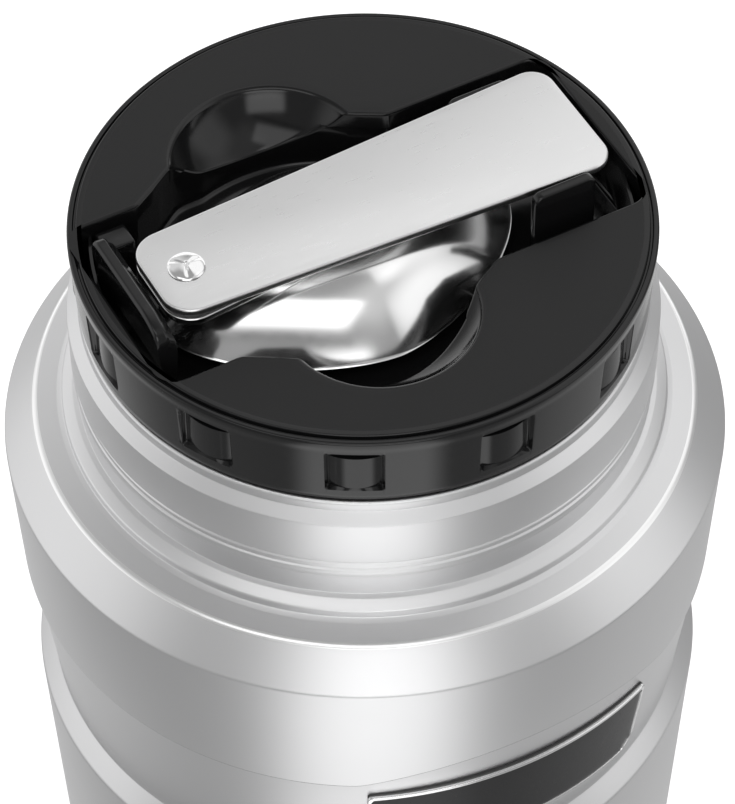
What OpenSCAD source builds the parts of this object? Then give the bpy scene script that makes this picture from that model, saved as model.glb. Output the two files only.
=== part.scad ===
// Wide-mouth vacuum food jar: screw stopper with a folding spoon stored in its top.
// Millimetres. The origin is the centre of the base, +Z is up and the badge faces -Y.

/* [Jar body] */
// Height of the lower body, from the foot to the waist step
lower_h = 54.1; // [45:0.1:75]
// Height of the waist band, which carries the badge
waist_h = 21.7; // [20:0.1:30]
// Height of the collar's upright face
collar_h = 21; // [12:0.5:30]
// Height of the sloping shoulder above the collar
chamfer_h = 5; // [4:0.5:9]
// Radius at the foot
foot_r = 44.4; // [43.5:0.1:45.5]
// Radius of the lower body's bright upper shoulder
belly_r = 46.6; // [45.8:0.1:47.2]
// Radius at the foot of the waist band
waist_r = 44.3; // [43.6:0.1:45.2]
// Radius at the collar's lower edge
brow_r = 47.3; // [46.8:0.1:47.8]
// Largest radius of the jar, at the top of the collar
collar_r = 48.25; // [47.8:0.05:50]
// Thickness of the outer steel wall
shell_t = 0.7; // [0.5:0.1:0.9]

/* [Neck] */
// Height of the neck above the shoulder
neck_h = 19.9; // [19:0.1:26]
// Outer radius of the neck's plain cylinder
neck_r = 38.5; // [38.2:0.1:39.2]
// Radius of the rolled rim under the stopper
rim_r = 37; // [36.8:0.1:37.4]
// Radius of the crease between neck root and shoulder
root_r = 43.95; // [43.4:0.05:44.6]
// Inner radius of the neck
bore_r = 34.9; // [34.7:0.1:35.2]
// Inner radius of the ledge that the gasket seals on
throat_r = 31.8; // [31.2:0.1:32]

/* [Inner vessel] */
// Width of the vacuum space between the two walls, at the narrowest place
vacuum_gap = 2.8; // [2.4:0.1:5]
// Height of the cavity floor above the foot
floor_z = 9; // [8:0.5:14]
// Thickness of the inner steel wall
vessel_t = 0.6; // [0.5:0.1:0.8]

/* [Thread] */
// Rise of the thread in one turn
pitch = 7; // [6:0.5:8]
// Number of turns of each thread
thread_turns = 1.25; // [1:0.25:1.5]
// Radial height of the neck's thread
neck_thread_h = 1.8; // [1.4:0.1:2]
// Radial height of the plug's thread
plug_thread_h = 1.9; // [1.5:0.1:2.1]

/* [Stopper] */
// Radius of the stopper at its top edge
lid_r = 37.6; // [37.4:0.1:38.2]
// Radius at the lower edge of the skirt
skirt_r = 37; // [36.8:0.1:37.2]
// Height of the stopper's skirt
skirt_h = 11.5; // [11:0.1:15]
// Depth of the spoon recess
recess_d = 9.5; // [9:0.1:10]
// Half of the recess's length
recess_l = 34; // [33:0.1:34.2]
// Half of the recess's width
recess_w = 14.4; // [13.5:0.1:15]
// Number of gripping pockets round the skirt
pockets = 12; // [8:1:16]

/* [Spoon] */
// Length of the handle
handle_l = 61.5; // [56:0.1:62]
// Half of the handle's width at the rivet end
rivet_end_w = 7.2; // [6.6:0.1:7.6]
// Half of the handle's width at the free end
free_end_w = 9.7; // [8.5:0.1:9.8]
// Thickness of the handle plate
handle_t = 1.2; // [1:0.1:1.4]
// Height of the handle's top face above the stopper
handle_rise = 3.5; // [3.4:0.1:4]
// Half of the bowl's width
bowl_w = 17.8; // [15:0.1:18]
// Length of the bowl
bowl_l = 50; // [44:0.5:50]
// Depth of the bowl
bowl_d = 7.8; // [6:0.1:8]

/* [Badge] */
// Width of the badge along the waist, in degrees round the jar
badge_deg = 53; // [40:1:56]
// Height of the badge
badge_h = 11.8; // [9:0.1:12.5]

/* [Hidden] */
$fn = 96;

// Levels above the foot
waist_z = lower_h;
brow_z = waist_z + waist_h;
collar_z = brow_z + collar_h;
root_z = collar_z + chamfer_h;
rim_z = root_z + neck_h;
rim_gap = 0.8;
skirt_z = rim_z + rim_gap;
top_z = skirt_z + skirt_h;

// Small sizes of the jar
cut = 1;
seam = 0.1;
foot_round = 2.4;
foot_ring_w = 3;
foot_ring_h = 2;
belly_round = 2.8;
brow_step = 0.35;
brow_step_h = 0.3;
collar_round = 0.9;
rim_face_h = 1.5;
rim_bevel_h = 1.3;
neck_wall_h = 7.3;
ridge_r = 0.45;
ridge_gap = 1.5;
bead_r = 2.4;
bead_out = 1.6;
bead_drop = 16.4;
ledge_drop = 18.9;
ledge_w = 1;
valley_drop = 20.2;
valley_w = 3.2;
lip_w = 0.5;

// Arch over the badge, cut into the collar
arch_h = 4.2;
arch_half = 23.6;
arch_sink = 0.25;

// Vacuum space, foot and inner vessel: the vessel clears the narrowest part of the outer wall
cavity_r = min(foot_r, belly_r, waist_r, brow_r) - shell_t - vacuum_gap - vessel_t;
vessel_round = 8;
ledge_h = 0.9;
throat_h = 3;
flare_h = 10;
seal_drop = 23.7;
seal_z = rim_z - seal_drop;
foil_gap = 0.2;
foil_t = 0.2;
foil_low = 5;
foil_high = 14;
plate_z = 3.8;
plate_t = 0.8;
plate_dish = 0.8;
plate_dish_r = 16;
seal_hole_r = 1.2;
seal_bead_r = 2.6;
getter_r = 5;
getter_h = 1.2;
getter_x = 11;
cover_z = 0.5;
cover_t = 0.6;
cover_step_r = 34;
cover_step_h = 0.8;

// Thread sections
steps_per_turn = 72;
thread_sink = 0.25;
thread_root_h = 2.8;
thread_tip_h = 1.4;
thread_play = 0.35;
thread_end_share = 1 / 8;
bore_play = 0.6;

// Plug and gasket
plug_r = bore_r - bore_play - plug_thread_h;
plug_t = 1.9;
plug_flange_t = 1.8;
plug_foot_drop = 2.4;
plug_foot_play = 0.8;
plug_foot_r = throat_r - plug_foot_play;
gasket_h = 3;
gasket_play = 0.3;
gasket_r = bore_r - neck_thread_h - gasket_play;
groove_play = 1.5;
groove_r = throat_r - groove_play;
gasket_fit = 0.15;
groove_top_z = seal_z + gasket_h + 3 * seam;
foam_gap = 0.2;

// Heights of the two threads where they start, in mesh with the stopper screwed home
plug_thread_z = groove_top_z + thread_root_h / 2 + 5 * seam;
neck_thread_z = plug_thread_z + (thread_root_h + thread_tip_h) / 2 + thread_play;

// Stopper cover
cover_wall = 1.2;
top_t = 2.2;
skirt_in_r = bore_r;
edge_round = 0.5;
rim_groove = 0.35;
rim_groove_w = 0.7;
recess_round = 2.8;
pocket_w = 7.7;
pocket_h = 7.1;
pocket_depth = 1.7;
pocket_low = 1.9;
pocket_barrel_r = 8.7;
pocket_barrel_h = 5.7;
pocket_barrel_in = 0.7;
bay_r = 21.4;
bay_x = -6.2;
bay_shoulder_x = 17.5;
bay_shoulder_in = 11;
bay_shoulder_deg = 30;
scoop_r = 14.1;
scoop_rise = 6.2;
scoop_x = -5.7;
scoop_y = 15;
post_x = 18.6;
post_l = 8.8;
post_t = 1.4;
post_gap = 0.5;
post_over = 0.6;
far_post_drop = 0.7;
post_round = 1.2;
rib_t = 0.9;
rib_h = 5;
block_x = -30.2;
block_l = 4.2;
block_y = 11;
block_w = 2.4;
block_h = 7.4;

// Latch
latch_play = 0.5;
latch_w = 9.3;
latch_foot_r = 0.8;
latch_root_t = 2.6;
latch_top_t = 2.3;
latch_rise = 4.2;
latch_step = 0.8;
latch_end_round = 1.4;

// Spoon
hinge_end = 5;
handle_start_x = -29.9;
rivet_end_corner = 4;
free_end_corner = 3.2;
corner_steps = 10;
rivet_x = handle_start_x + hinge_end;
rivet_r = 1.5;
rivet_play = 0.06;
rivet_head_r = 2.45;
rivet_head_h = 0.7;
rivet_foot_r = 2.3;
rivet_foot_h = 0.7;
washer_r = 4;
washer_t = 0.5;
tang_t = 1;
tang_l = 31;
tang_end_w = 5.2;
tang_corner = 2.5;
bowl_t = 0.8;
bowl_end = 1;
bowl_x = handle_start_x + bowl_end + bowl_l / 2;
bowl_flat_share = 0.26;
bowl_power = 2.4;
outline_power = 1.6;
bowl_rings = 9;
bowl_steps = 64;
handle_z = top_z + handle_rise - handle_t;
tang_z = handle_z - washer_t - tang_t;
bowl_top = tang_z;
bowl_rim_z = bowl_top - bowl_d;

// Ribs on the recess floor that carry the bowl's rim
seat_gap = 0.3;
seat_t = 1.2;
seat_reach = 18;
seat_w = 11;

// Badge
badge_t = 0.6;
badge_border = 0.9;
badge_border_t = 0.3;
badge_top_drop = 3.3;
badge_corner = 2.2;
inlay_t = 0.2;

// Point on an arc, with the angle from +X
function arc(cx, cz, r, a0, a1, n) =
    [for (i = [0 : n]) let (a = a0 + (a1 - a0) * i / n) [cx + r * cos(a), cz + r * sin(a)]];

// Radius of the waist band's cone at height z
function band_r(z) = waist_r + (brow_r - brow_step - waist_r) * (z - waist_z) / (waist_h - brow_step_h);

// Outer outline of the steel wall, from the foot up to the rim
function shell_outline() = concat(
    arc(foot_r - foot_round, foot_round, foot_round, -90, 0, 4),
    arc(belly_r - belly_round, lower_h - belly_round, belly_round, 5, 80, 5),
    [[waist_r, waist_z],
     [brow_r - brow_step, brow_z - brow_step_h],
     [brow_r, brow_z]],
    arc(collar_r - collar_round, collar_z - collar_round / 2, collar_round, 0, 45, 3),
    [[root_r, root_z],
     [root_r - lip_w, root_z],
     [neck_r + valley_w + ledge_w, rim_z - valley_drop],
     [neck_r + bead_out + ledge_w, rim_z - ledge_drop],
     [neck_r + bead_out / 2, rim_z - ledge_drop],
     [neck_r - ridge_r, rim_z - bead_drop + bead_r],
     [neck_r - ridge_r, rim_z - rim_face_h - rim_bevel_h - neck_wall_h],
     [neck_r, rim_z - rim_face_h - rim_bevel_h - neck_wall_h],
     [neck_r, rim_z - rim_face_h - rim_bevel_h],
     [rim_r, rim_z - rim_face_h],
     [rim_r, rim_z]]);

// Inner outline of the steel wall, from the rim down to the foot
function shell_inside() = [
    [bore_r + vessel_t, rim_z],
    [bore_r + vessel_t, rim_z - shell_t],
    [rim_r - shell_t, rim_z - shell_t],
    [rim_r - shell_t, rim_z - rim_face_h - shell_t / 2],
    [neck_r - shell_t - ridge_r, rim_z - rim_face_h - rim_bevel_h],
    [neck_r - shell_t - ridge_r, rim_z - bead_drop],
    [neck_r + bead_out - shell_t, rim_z - ledge_drop - shell_t],
    [neck_r + valley_w + ledge_w - shell_t, rim_z - valley_drop - shell_t],
    [root_r - shell_t, root_z - shell_t],
    [collar_r - shell_t, collar_z - shell_t],
    [brow_r - shell_t - brow_step, brow_z],
    [waist_r - shell_t, waist_z + shell_t],
    [waist_r - shell_t, waist_z - shell_t / 2],
    [belly_r - shell_t, lower_h - belly_round - shell_t / 2],
    [foot_r - shell_t, foot_round],
    [foot_r - shell_t, foot_ring_h],
    [foot_r - foot_ring_w, foot_ring_h],
    [foot_r - foot_ring_w, 0]];

module outer_shell() {
    color("silver")
    difference() {
        union() {
            rotate_extrude() {
                polygon(concat(shell_outline(), shell_inside()));
                for (k = [0, 1])
                    translate([neck_r - ridge_r / 4,
                               rim_z - rim_face_h - rim_bevel_h - neck_wall_h - ridge_r - k * ridge_gap])
                        circle(r = 2 * ridge_r, $fn = 32);
                intersection() {
                    translate([neck_r + bead_out - bead_r, rim_z - bead_drop])
                        circle(r = bead_r, $fn = 64);
                    translate([neck_r - shell_t, rim_z - ledge_drop])
                        square([2 * bead_r, 2 * ledge_drop]);
                }
            }
        }
        brow_arch();
    }
}

// Segment of a ring over the badge, which raises the collar's lower edge in an arch
module brow_arch() {
    arch_r = (pow(arch_half, 2) + pow(arch_h, 2)) / (2 * arch_h);
    reach = max(collar_r, brow_r) + cut;
    intersection() {
        difference() {
            translate([0, 0, waist_z + waist_h / 2])
                cylinder(r = reach, h = waist_h);
            translate([0, 0, waist_z + waist_h / 2 - cut])
                cylinder(r = brow_r - brow_step - arch_sink, h = waist_h + 2 * cut);
        }
        translate([0, 0, brow_z - brow_step_h + arch_h - arch_r])
            rotate([90, 0, 0])
                cylinder(r = arch_r, h = reach, $fn = 128);
        translate([-reach, -reach, brow_z - brow_step_h])
            cube([2 * reach, reach - cut, 2 * arch_h]);
    }
}

// Thread ridge with tapered ends: side is 1 on a bar and -1 in a bore
module thread_ridge(wall_r, height, start_z, turns, side) {
    steps = round(turns * steps_per_turn);
    grow = [for (i = [0 : steps])
        min(1, min(i, steps - i) / (turns * steps_per_turn * thread_end_share))];
    points = [for (i = [0 : steps])
        let (a = 360 * i / steps_per_turn, z = start_z + pitch * i / steps_per_turn,
             r0 = wall_r - side * thread_sink,
             r1 = wall_r + side * (height * grow[i] - thread_sink * (1 - grow[i]) / 2),
             h0 = thread_root_h / 2, h1 = thread_tip_h / 2)
        each [[r0 * cos(a), r0 * sin(a), z - h0], [r1 * cos(a), r1 * sin(a), z - h1],
              [r1 * cos(a), r1 * sin(a), z + h1], [r0 * cos(a), r0 * sin(a), z + h0]]];
    sides = [for (i = [0 : steps - 1], j = [0 : 3])
        let (a = 4 * i + j, b = 4 * i + (j + 1) % 4)
        each (side < 0 ? [[a, b + 4, b], [a, a + 4, b + 4]] : [[a, b, b + 4], [a, b + 4, a + 4]])];
    first = side < 0 ? [[0, 1, 2], [0, 2, 3]] : [[0, 2, 1], [0, 3, 2]];
    e = 4 * steps;
    last = side < 0 ? [[e, e + 2, e + 1], [e, e + 3, e + 2]] : [[e, e + 1, e + 2], [e, e + 2, e + 3]];
    polyhedron(concat(points), concat(sides, first, last));
}

module inner_vessel() {
    flare_z = seal_z - ledge_h - throat_h;
    inside = concat(
        [[0, floor_z]],
        arc(cavity_r - vessel_round, floor_z + vessel_round, vessel_round, -90, 0, 6),
        [[cavity_r, flare_z - flare_h],
         [throat_r, flare_z],
         [throat_r, seal_z],
         [bore_r, seal_z],
         [bore_r, rim_z]]);
    outside = concat(
        [[bore_r + vessel_t, rim_z],
         [bore_r + vessel_t, seal_z - ledge_h],
         [throat_r + vessel_t, seal_z - ledge_h],
         [throat_r + vessel_t, flare_z],
         [cavity_r + vessel_t, flare_z - flare_h]],
        arc(cavity_r - vessel_round, floor_z + vessel_round, vessel_round + vessel_t, 0, -90, 6),
        [[0, floor_z - vessel_t]]);
    color("gainsboro") {
        rotate_extrude() polygon(concat(inside, outside));
        thread_ridge(bore_r, neck_thread_h, neck_thread_z, thread_turns, -1);
    }
}

module radiation_foil() {
    color("goldenrod")
    translate([0, 0, floor_z + vessel_round + foil_low])
        difference() {
            foil_h = seal_z - ledge_h - throat_h - flare_h - floor_z - vessel_round - 2 * foil_low;
            inner = cavity_r + vessel_t + foil_gap;
            cylinder(r = inner + foil_t, h = foil_h);
            translate([0, 0, -cut]) cylinder(r = inner, h = foil_h + 2 * cut);
        }
}

module base_plate() {
    outer = foot_r - shell_t - seam;
    color("silver")
    difference() {
        rotate_extrude()
            polygon([[0, plate_z - plate_dish],
                     [plate_dish_r, plate_z - plate_dish],
                     [plate_dish_r + 2 * plate_dish, plate_z],
                     [outer, plate_z],
                     [outer, plate_z + plate_t],
                     [plate_dish_r + 2 * plate_dish, plate_z + plate_t],
                     [plate_dish_r, plate_z + plate_t - plate_dish],
                     [0, plate_z + plate_t - plate_dish]]);
        translate([0, 0, plate_z - plate_dish - cut]) cylinder(r = seal_hole_r, h = plate_t + 2 * cut);
    }
}

module vacuum_seal() {
    color("dimgray")
    translate([0, 0, plate_z - plate_dish])
        rotate_extrude()
            polygon(concat(
                [[0, plate_t], [seal_hole_r, plate_t], [seal_hole_r, 0]],
                [for (i = [0 : 4]) let (a = 90 * i / 4)
                    [seal_bead_r * cos(a), -plate_t * sin(a)]]));
}

module getter() {
    color("gray")
    translate([getter_x, 0, plate_z + plate_t - plate_dish])
        cylinder(r = getter_r, h = getter_h, $fn = 48);
}

module bottom_cover() {
    outer = foot_r - foot_ring_w - seam;
    color("silver")
    rotate_extrude()
        polygon([[0, cover_z + cover_step_h],
                 [cover_step_r, cover_z + cover_step_h],
                 [cover_step_r + cover_step_h, cover_z],
                 [outer, cover_z],
                 [outer, cover_z + cover_t],
                 [cover_step_r + cover_step_h, cover_z + cover_t],
                 [cover_step_r, cover_z + cover_step_h + cover_t],
                 [0, cover_z + cover_step_h + cover_t]]);
}

// Outline of the badge as seen from the front, with its two lower corners cut off
module badge_outline(inset) {
    half = (band_r(brow_z) * sin(badge_deg / 2)) - inset;
    top = brow_z - badge_top_drop - inset;
    low = brow_z - badge_top_drop - badge_h + inset;
    corner = badge_corner - inset / 2;
    polygon([[-half, top], [-half + corner / 2, low + corner], [-half + corner, low],
             [half - corner, low], [half - corner / 2, low + corner], [half, top]]);
}

// Layer that follows the waist band's cone, from depth a to depth b outside it
module band_layer(a, b) {
    margin = badge_h / 2;
    lo = brow_z - badge_top_drop - badge_h - margin;
    hi = brow_z - badge_top_drop + margin;
    rotate_extrude()
        polygon([[band_r(lo) + a, lo], [band_r(lo) + b, lo], [band_r(hi) + b, hi], [band_r(hi) + a, hi]]);
}

module badge_block(inset) {
    translate([0, -throat_r / 2, 0])
        rotate([90, 0, 0])
            linear_extrude(height = collar_r) badge_outline(inset);
}

module badge_plate() {
    color("lightgray")
    difference() {
        intersection() {
            band_layer(seam / 2, badge_t);
            badge_block(0);
        }
        intersection() {
            band_layer(badge_t - badge_border_t, badge_t + cut);
            badge_block(badge_border);
        }
    }
}

module badge_inlay() {
    color([0.25, 0.25, 0.26])
    intersection() {
        band_layer(badge_t - badge_border_t + seam / 10, badge_t - badge_border_t + inlay_t);
        badge_block(badge_border + seam / 2);
    }
}

// Rounded rectangle about the middle, made of squares and circles
module round_rect(half_l, half_w, r) {
    square([2 * half_l, 2 * (half_w - r)], center = true);
    square([2 * (half_l - r), 2 * half_w], center = true);
    for (sx = [-1, 1], sy = [-1, 1])
        translate([sx * (half_l - r), sy * (half_w - r)]) circle(r = r, $fn = 48);
}

// Plan of the recess, grown by the given amount
module recess_plan(grow) {
    round_rect(recess_l + grow, recess_w + grow, recess_round + grow);
    translate([bay_x, 0]) {
        circle(r = bay_r + grow);
        bay_shoulders(bay_shoulder_x + grow * tan(bay_shoulder_deg / 2), recess_w + grow);
    }
}

// Sloping shoulders that lead from the long walls into the round bay
module bay_shoulders(x, y) {
    top = y + (x - bay_shoulder_in) * tan(bay_shoulder_deg);
    polygon([[-x, -y], [-bay_shoulder_in, -top], [bay_shoulder_in, -top], [x, -y],
             [x, y], [bay_shoulder_in, top], [-bay_shoulder_in, top], [-x, y]]);
}

module scoops(grow, top) {
    for (s = [-1, 1])
        intersection() {
            translate([scoop_x, s * scoop_y, top_z + scoop_rise]) sphere(r = scoop_r + grow);
            translate([0, 0, top_z - recess_d - grow]) cylinder(r = lid_r, h = recess_d + grow + top);
        }
}

module stopper_cover() {
    color([0.13, 0.13, 0.13]) {
        difference() {
            union() {
                rotate_extrude()
                    polygon(concat(
                        [[0, top_z - top_t], [skirt_in_r, top_z - top_t], [skirt_in_r, skirt_z],
                         [skirt_r, skirt_z]],
                        arc(lid_r - edge_round, top_z - edge_round - rim_groove, edge_round, 0, 90, 4),
                        [[lid_r - rim_groove_w, top_z - rim_groove],
                         [lid_r - rim_groove_w, top_z],
                         [0, top_z]]));
                intersection() {
                    union() {
                        translate([0, 0, top_z - recess_d - cover_wall])
                            linear_extrude(height = recess_d + cover_wall / 2) recess_plan(cover_wall);
                        scoops(cover_wall, -cover_wall / 2);
                    }
                    cylinder(r = skirt_in_r + cover_wall / 2, h = top_z);
                }
            }
            translate([0, 0, top_z - recess_d])
                linear_extrude(height = recess_d + cut) recess_plan(0);
            scoops(0, cut);
            for (i = [0 : pockets - 1]) rotate([0, 0, 360 * i / pockets]) grip_pocket();
        }
        posts();
        for (s = [-1, 1]) seat_rib(bowl_x + s * seat_reach);
    }
}

// Low rib across the recess floor, just under the rim of the stored bowl
module seat_rib(x) {
    floor = top_z - recess_d;
    translate([x - seat_t / 2, -seat_w, floor - cover_wall / 2])
        cube([seat_t, 2 * seat_w, bowl_rim_z - seat_gap - floor + cover_wall / 2]);
}

// Pocket with a bulging barrel left standing in it, under a deeper slot for the fingertip
module grip_pocket() {
    difference() {
        translate([0, -pocket_w / 2, skirt_z + pocket_low])
            cube([2 * lid_r, pocket_w, pocket_h]);
        translate([0, 0, skirt_z]) cylinder(r = lid_r - pocket_depth, h = skirt_h);
        translate([lid_r - pocket_barrel_in - pocket_barrel_r, 0, skirt_z])
            cylinder(r = pocket_barrel_r, h = pocket_low + pocket_barrel_h);
    }
}

// Upright posts beside the free end of the handle, with the brace behind the near one
module posts() {
    z0 = top_z - recess_d;
    near_h = recess_d + handle_rise + post_over;
    far_h = recess_d + handle_rise - handle_t - far_post_drop;
    inner_y = free_end_w + post_gap;
    post(-inner_y - post_t, near_h);
    post(inner_y, far_h);
    translate([post_x + post_l - rib_t, -recess_w, z0]) cube([rib_t, recess_w - inner_y - post_t, rib_h]);
    translate([post_x, inner_y + post_t, z0]) cube([rib_t, recess_w - inner_y - post_t, rib_h]);
    translate([block_x, block_y, z0]) cube([block_l, block_w, block_h]);
}

// One post: a thin plate with its two upper corners rounded
module post(y, h) {
    translate([post_x, y + post_t, top_z - recess_d])
        rotate([90, 0, 0])
            linear_extrude(height = post_t) {
                square([post_l, h - post_round]);
                translate([post_round, 0]) square([post_l - 2 * post_round, h]);
                for (x = [post_round, post_l - post_round])
                    translate([x, h - post_round]) circle(r = post_round, $fn = 32);
            }
}

module plug_body() {
    foot_z = seal_z - plug_foot_drop;
    under = top_z - recess_d - cover_wall - foam_gap;
    color([0.1, 0.1, 0.1]) {
        rotate_extrude()
            polygon([[0, foot_z], [plug_foot_r - edge_round, foot_z], [plug_foot_r, foot_z + edge_round],
                     [plug_foot_r, seal_z - seam], [groove_r, seal_z - seam],
                     [groove_r, groove_top_z], [plug_r, groove_top_z],
                     [plug_r, under - plug_flange_t], [bore_r - bore_play, under - plug_flange_t],
                     [bore_r - bore_play, under], [plug_r - plug_t, under],
                     [plug_r - plug_t, seal_z + gasket_h + plug_t],
                     [groove_r - plug_t, seal_z + gasket_h + plug_t],
                     [groove_r - plug_t, foot_z + plug_t], [0, foot_z + plug_t]]);
        thread_ridge(plug_r, plug_thread_h, plug_thread_z, thread_turns, 1);
    }
}

module plug_foam() {
    foot_z = seal_z - plug_foot_drop + plug_t + foam_gap;
    neck = groove_r - plug_t - foam_gap;
    wide = plug_r - plug_t - foam_gap;
    step = seal_z + gasket_h + plug_t + foam_gap;
    high = top_z - recess_d - cover_wall - foam_gap;
    color("ivory")
    rotate_extrude()
        polygon([[0, foot_z], [neck, foot_z], [neck, step], [wide, step], [wide, high], [0, high]]);
}

module stopper_gasket() {
    inner = groove_r + gasket_fit;
    bulge = gasket_h / 6;
    color("whitesmoke")
    rotate_extrude()
        polygon([[inner, seal_z + seam / 2], [gasket_r - bulge, seal_z + seam / 2],
                 [gasket_r, seal_z + 2 * bulge], [gasket_r, seal_z + gasket_h - 2 * bulge],
                 [gasket_r - bulge, seal_z + gasket_h], [inner, seal_z + gasket_h]]);
}

// Side view of the latch: a round foot, a leaning tongue and a stepped head
module latch_side() {
    x0 = handle_start_x - latch_play;
    z0 = top_z - recess_d + latch_foot_r + seam;
    xf = x0 - latch_root_t / 2;
    head_z = top_z + latch_rise;
    translate([xf, z0]) circle(r = latch_foot_r, $fn = 32);
    polygon([[xf - latch_foot_r, z0], [xf + latch_foot_r, z0], [x0 - latch_foot_r / 2, top_z - latch_rise],
             [x0, top_z + latch_step], [x0, head_z - 2 * latch_step],
             [x0 - latch_step, head_z - latch_step], [x0 - latch_step, head_z - latch_step / 2],
             [x0 - 3 * latch_step / 2, head_z], [x0 - latch_top_t, head_z],
             [x0 - latch_root_t, head_z - latch_step / 2], [x0 - latch_root_t - latch_step / 2, top_z],
             [x0 - latch_root_t - latch_step / 2, top_z - latch_rise]]);
}

module spoon_latch() {
    color([0.1, 0.1, 0.1])
    intersection() {
        translate([0, latch_w, 0]) rotate([90, 0, 0]) linear_extrude(height = 2 * latch_w) latch_side();
        translate([-top_z, 0, 0])
            rotate([90, 0, 90])
                linear_extrude(height = top_z)
                    translate([0, top_z - recess_d / 2])
                        round_rect(latch_w, recess_d / 2 + latch_rise, latch_end_round);
    }
}

// Direction of the outer tangent from circle a to circle b, to their right
function tangent(a, ra, b, rb) =
    let (d = b - a, n = norm(d), base = atan2(d[1], d[0])) base - acos((ra - rb) / n);

// Plate outline of four round corners joined by their tangents, in counter-clockwise order
module round_quad(c, r) {
    a = [for (i = [0 : 3]) let (j = (i + 1) % 4) tangent(c[i], r[i], c[j], r[j])];
    polygon([for (i = [0 : 3])
        let (from = a[(i + 3) % 4], turn = ((a[i] - from) % 360 + 360) % 360)
        each arc(c[i][0], c[i][1], r[i], from, from + turn, corner_steps)]);
}

// Flat plate that starts at x0 with half width w0 and ends at x1 with half width w1
module spoon_plate(x0, x1, w0, w1, r0, r1) {
    round_quad([[x0 + r0, r0 - w0], [x1 - r1, r1 - w1], [x1 - r1, w1 - r1], [x0 + r0, w0 - r0]],
               [r0, r1, r1, r0]);
}

module rivet_hole(z, t) {
    translate([rivet_x, 0, z - cut]) cylinder(r = rivet_r + rivet_play, h = t + 2 * cut, $fn = 48);
}

module spoon_handle() {
    color("lightgray")
    difference() {
        translate([0, 0, handle_z])
            linear_extrude(height = handle_t)
                spoon_plate(handle_start_x, handle_start_x + handle_l, rivet_end_w, free_end_w, rivet_end_corner, free_end_corner);
        rivet_hole(handle_z, handle_t);
    }
}

module spoon_tang() {
    color("silver")
    difference() {
        translate([0, 0, tang_z])
            linear_extrude(height = tang_t)
                spoon_plate(handle_start_x, handle_start_x + tang_l, rivet_end_w, tang_end_w, rivet_end_corner, tang_corner);
        rivet_hole(tang_z, tang_t);
    }
}

module rivet_washer() {
    color("dimgray")
    difference() {
        translate([rivet_x, 0, tang_z + tang_t + seam / 5])
            cylinder(r = washer_r, h = washer_t - 2 * seam / 5, $fn = 64);
        rivet_hole(tang_z, tang_t + washer_t);
    }
}

module spoon_rivet() {
    low = tang_z;
    high = handle_z + handle_t;
    color("white")
    translate([rivet_x, 0, 0])
        rotate_extrude($fn = 64)
            polygon(concat(
                [[0, low - rivet_foot_h], [rivet_foot_r - rivet_foot_h / 2, low - rivet_foot_h],
                 [rivet_foot_r, low - seam / 5], [rivet_r, low - seam / 5], [rivet_r, high + seam / 2],
                 [rivet_head_r, high + seam / 2]],
                [for (i = [1 : 5]) let (a = 90 * i / 6)
                    [rivet_head_r * cos(a), high + seam / 2 + rivet_head_h * sin(a)]],
                [[rivet_head_r / 4, high + rivet_head_h], [0, high + rivet_head_h / 2]]));
}

// Half width of the bowl in direction a, as a share of its half length and half width
function bowl_reach(a) =
    pow(pow(abs(cos(a)), outline_power) + pow(abs(sin(a)), outline_power), -1 / outline_power);

// Height of the bowl's back at a share u of the way from its crown to its rim
function bowl_height(u) =
    u < bowl_flat_share ? 0 : -bowl_d * pow((u - bowl_flat_share) / (1 - bowl_flat_share), bowl_power);

module spoon_bowl() {
    n = bowl_steps;
    shares = [for (k = [1 : bowl_rings])
        bowl_flat_share + (1 - bowl_flat_share) * (k - 1) / (bowl_rings - 1)];
    ring = function (u, dz, thin) [for (i = [0 : n - 1])
        let (a = 360 * i / n, reach = bowl_reach(a))
        [bowl_x + (bowl_l / 2 * reach - thin) * u * cos(a),
         (bowl_w * reach - thin) * u * sin(a),
         bowl_top + bowl_height(u) + dz]];
    outer = [for (u = shares) each ring(u, 0, 0)];
    inner = [for (u = shares) each ring(u, u < 1 ? -bowl_t : 0, bowl_t)];
    m = bowl_rings * n;
    centre = [[bowl_x, 0, bowl_top], [bowl_x, 0, bowl_top - bowl_t]];
    caps = [for (i = [0 : n - 1]) let (j = (i + 1) % n)
        each [[2 * m, j, i], [2 * m + 1, m + i, m + j]]];
    walls = [for (k = [0 : bowl_rings - 2], i = [0 : n - 1])
        let (j = (i + 1) % n, a = k * n + i, b = k * n + j, c = a + n, d = b + n)
        each [[a, b, d], [a, d, c], [m + a, m + d, m + b], [m + a, m + c, m + d]]];
    e = (bowl_rings - 1) * n;
    lip = [for (i = [0 : n - 1]) let (j = (i + 1) % n)
        each [[e + i, e + j, m + e + j], [e + i, m + e + j, m + e + i]]];
    color("gainsboro")
    polyhedron(concat(outer, inner, centre), concat(caps, walls, lip));
}

outer_shell();
inner_vessel();
radiation_foil();
base_plate();
vacuum_seal();
getter();
bottom_cover();
badge_plate();
badge_inlay();
stopper_cover();
plug_body();
plug_foam();
stopper_gasket();
spoon_latch();
spoon_bowl();
spoon_tang();
spoon_rivet();
rivet_washer();
spoon_handle();
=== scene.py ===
# Looks of the food jar: finishes, fine edges and the studio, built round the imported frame.
# Lengths are millimetres in the part's own frame until a mesh is made, which is in metres.
import math

import bpy
import numpy as np
from mathutils import Matrix, Vector


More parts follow.
